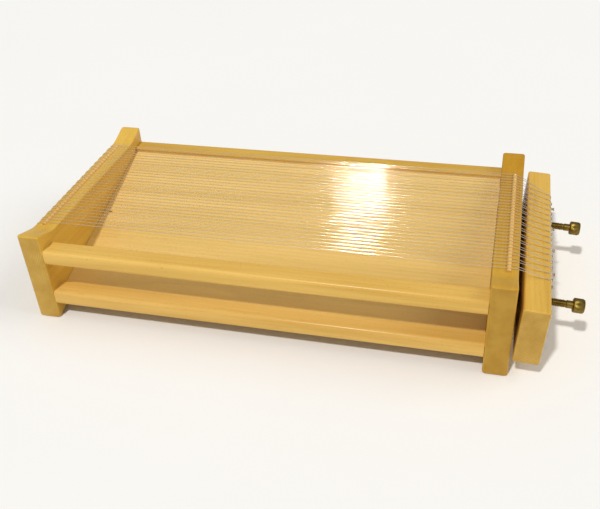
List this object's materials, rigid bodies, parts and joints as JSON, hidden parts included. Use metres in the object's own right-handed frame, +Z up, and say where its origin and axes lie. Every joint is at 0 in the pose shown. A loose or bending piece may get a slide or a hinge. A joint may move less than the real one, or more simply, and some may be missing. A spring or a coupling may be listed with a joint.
{
  "type": "pasta guitar cutter",
  "caption": "Double-sided wooden frame strung with steel wires for cutting rolled dough into strands, with a sloped slide board and a screw-tightened tension block",
  "frame": {"origin": "middle of the whole bounding box, at the base where the feet stand", "axes": "+X runs along the wires towards the tension block and its screws, +Y from the low edge of the slide board to its high edge, +Z up"},
  "size_m": [0.4942, 0.225, 0.09],
  "materials": {
    "beech": "clear varnish, satin",
    "pale_ply": "sanded, clear varnish",
    "rod_wood": "sanded hardwood dowel",
    "steel": "drawn steel",
    "yellow_zinc": "yellow zinc plate",
    "brass": "turned brass"
  },
  "bodies": {
    "frame": {"left_end_board": "beech", "right_end_board": "beech", "front_upper_rail": "beech", "front_lower_rail": "beech", "back_upper_rail": "beech", "back_lower_rail": "beech", "slide_board": "pale_ply", "left_rail_dowels": "rod_wood", "right_rail_dowels": "rod_wood", "left_top_rod": "rod_wood", "left_bottom_rod": "rod_wood", "right_top_rod": "rod_wood", "right_bottom_rod": "rod_wood", "board_top_nails": "steel", "board_bottom_nails": "steel", "front_thrust_plate": "steel", "rear_thrust_plate": "steel", "top_wires": "steel", "bottom_wires": "steel"},
    "tension_block": {"tension_block": "beech", "block_top_nails": "steel", "block_tie_nails": "steel", "block_bottom_nails": "steel", "front_threaded_insert": "brass", "rear_threaded_insert": "brass"},
    "front_screw": {"front_tension_screw": "yellow_zinc"},
    "rear_screw": {"rear_tension_screw": "yellow_zinc"}
  },
  "joints": [
    {"name": "front_screw_turn", "type": "hinge", "parent": "frame", "child": "front_screw", "pos_m": [0.1901, -0.06, 0.04448], "axis": [-0.9981, 0, 0.061], "range_deg": [-541, 361]},
    {"name": "rear_screw_turn", "type": "hinge", "parent": "frame", "child": "rear_screw", "pos_m": [0.1901, 0.06, 0.04448], "axis": [-0.9981, 0, 0.061], "range_deg": [-541, 361]},
    {"name": "block_slide", "type": "slide", "parent": "frame", "child": "tension_block", "axis": [0.9981, 0, -0.061], "range_m": [-0.00187, 0.00125], "deforming": ["top_wires", "bottom_wires"]}
  ],
  "couplings": [
    {"joint": "front_screw_turn", "follows": "block_slide", "rad_per_m": 5026.5},
    {"joint": "rear_screw_turn", "follows": "block_slide", "rad_per_m": 5026.5}
  ]
}
